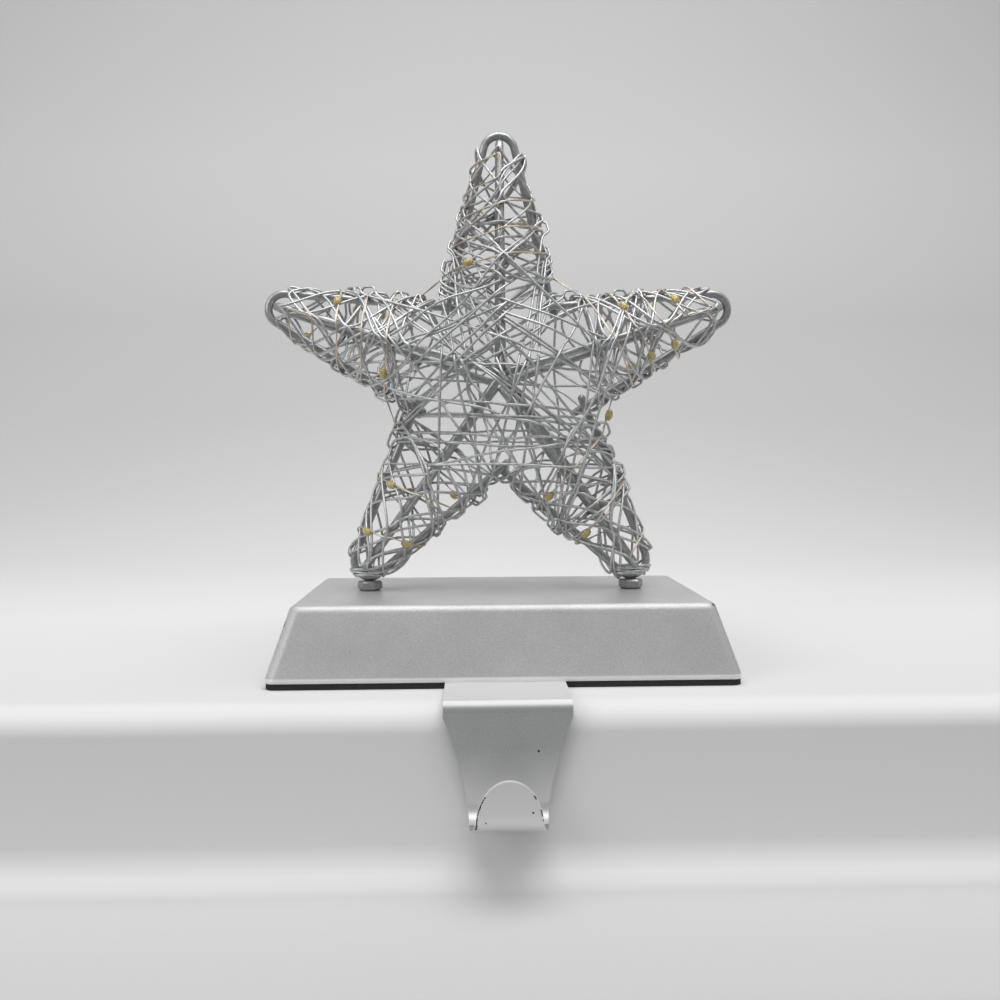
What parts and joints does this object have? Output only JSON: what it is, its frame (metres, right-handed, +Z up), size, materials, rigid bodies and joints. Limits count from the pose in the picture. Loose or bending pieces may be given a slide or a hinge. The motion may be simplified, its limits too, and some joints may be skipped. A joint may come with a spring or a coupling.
{
  "type": "mantel stocking holder",
  "caption": "Silver wire star with a string of small lights, standing on a weighted tapered base, with a sheet-metal hook in front to hang a stocking over a mantel edge.",
  "frame": {"origin": "middle of the base's footprint, on the underside of its pad, which stands on the mantel", "axes": "+X to the right seen from the front, +Y to the back, towards the wall, +Z up"},
  "size_m": [0.1537, 0.11, 0.2048],
  "materials": {
    "base_paint": "fine metallic grain, satin",
    "hook_paint": "smooth metallic, satin",
    "frame_wire": "satin",
    "wound_wire": "satin",
    "foot_metal": "satin",
    "black_foam": "matte",
    "plain_steel": "plain zinc",
    "weight_iron": "as cast",
    "black_plastic": "matte",
    "switch_knob": "matte",
    "cell_wrap": "smooth",
    "led_lead": "fine varnished strands",
    "led_drop": "clear drop over a yellow chip"
  },
  "bodies": {
    "stand": {"base_shell": "base_paint", "left_weight": "weight_iron", "right_weight": "weight_iron", "battery_housing": "black_plastic", "bottom_plate": "plain_steel", "hook": "hook_paint", "base_pad": "black_foam", "front_cell": "cell_wrap", "rear_cell": "cell_wrap", "contact_strips": "plain_steel", "switch_case": "black_plastic", "foot_nuts": "foot_metal", "foot_screws": "plain_steel", "lead_grommet": "black_foam", "body_wraps": "wound_wire", "led_wire": "led_lead", "led_drops": "led_drop", "top_point_side_wire": "frame_wire", "top_point_ridge_wire": "frame_wire", "top_point_wrap": "wound_wire", "left_arm_side_wire": "frame_wire", "left_arm_ridge_wire": "frame_wire", "left_arm_wrap": "wound_wire", "left_leg_side_wire": "frame_wire", "left_leg_ridge_wire": "frame_wire", "left_leg_wrap": "wound_wire", "right_leg_side_wire": "frame_wire", "right_leg_ridge_wire": "frame_wire", "right_leg_wrap": "wound_wire", "right_arm_side_wire": "frame_wire", "right_arm_ridge_wire": "frame_wire", "right_arm_wrap": "wound_wire"},
    "battery_door": {"battery_door": "black_plastic"},
    "switch_slider": {"switch_slider": "switch_knob"}
  },
  "joints": [
    {"name": "door_press_out", "type": "slide", "parent": "stand", "child": "battery_door", "axis": [0, 0, -1], "range_m": [0, 0.012]},
    {"name": "light_switch", "type": "slide", "parent": "stand", "child": "switch_slider", "axis": [1, 0, 0], "range_m": [0, 0.0025]}
  ]
}
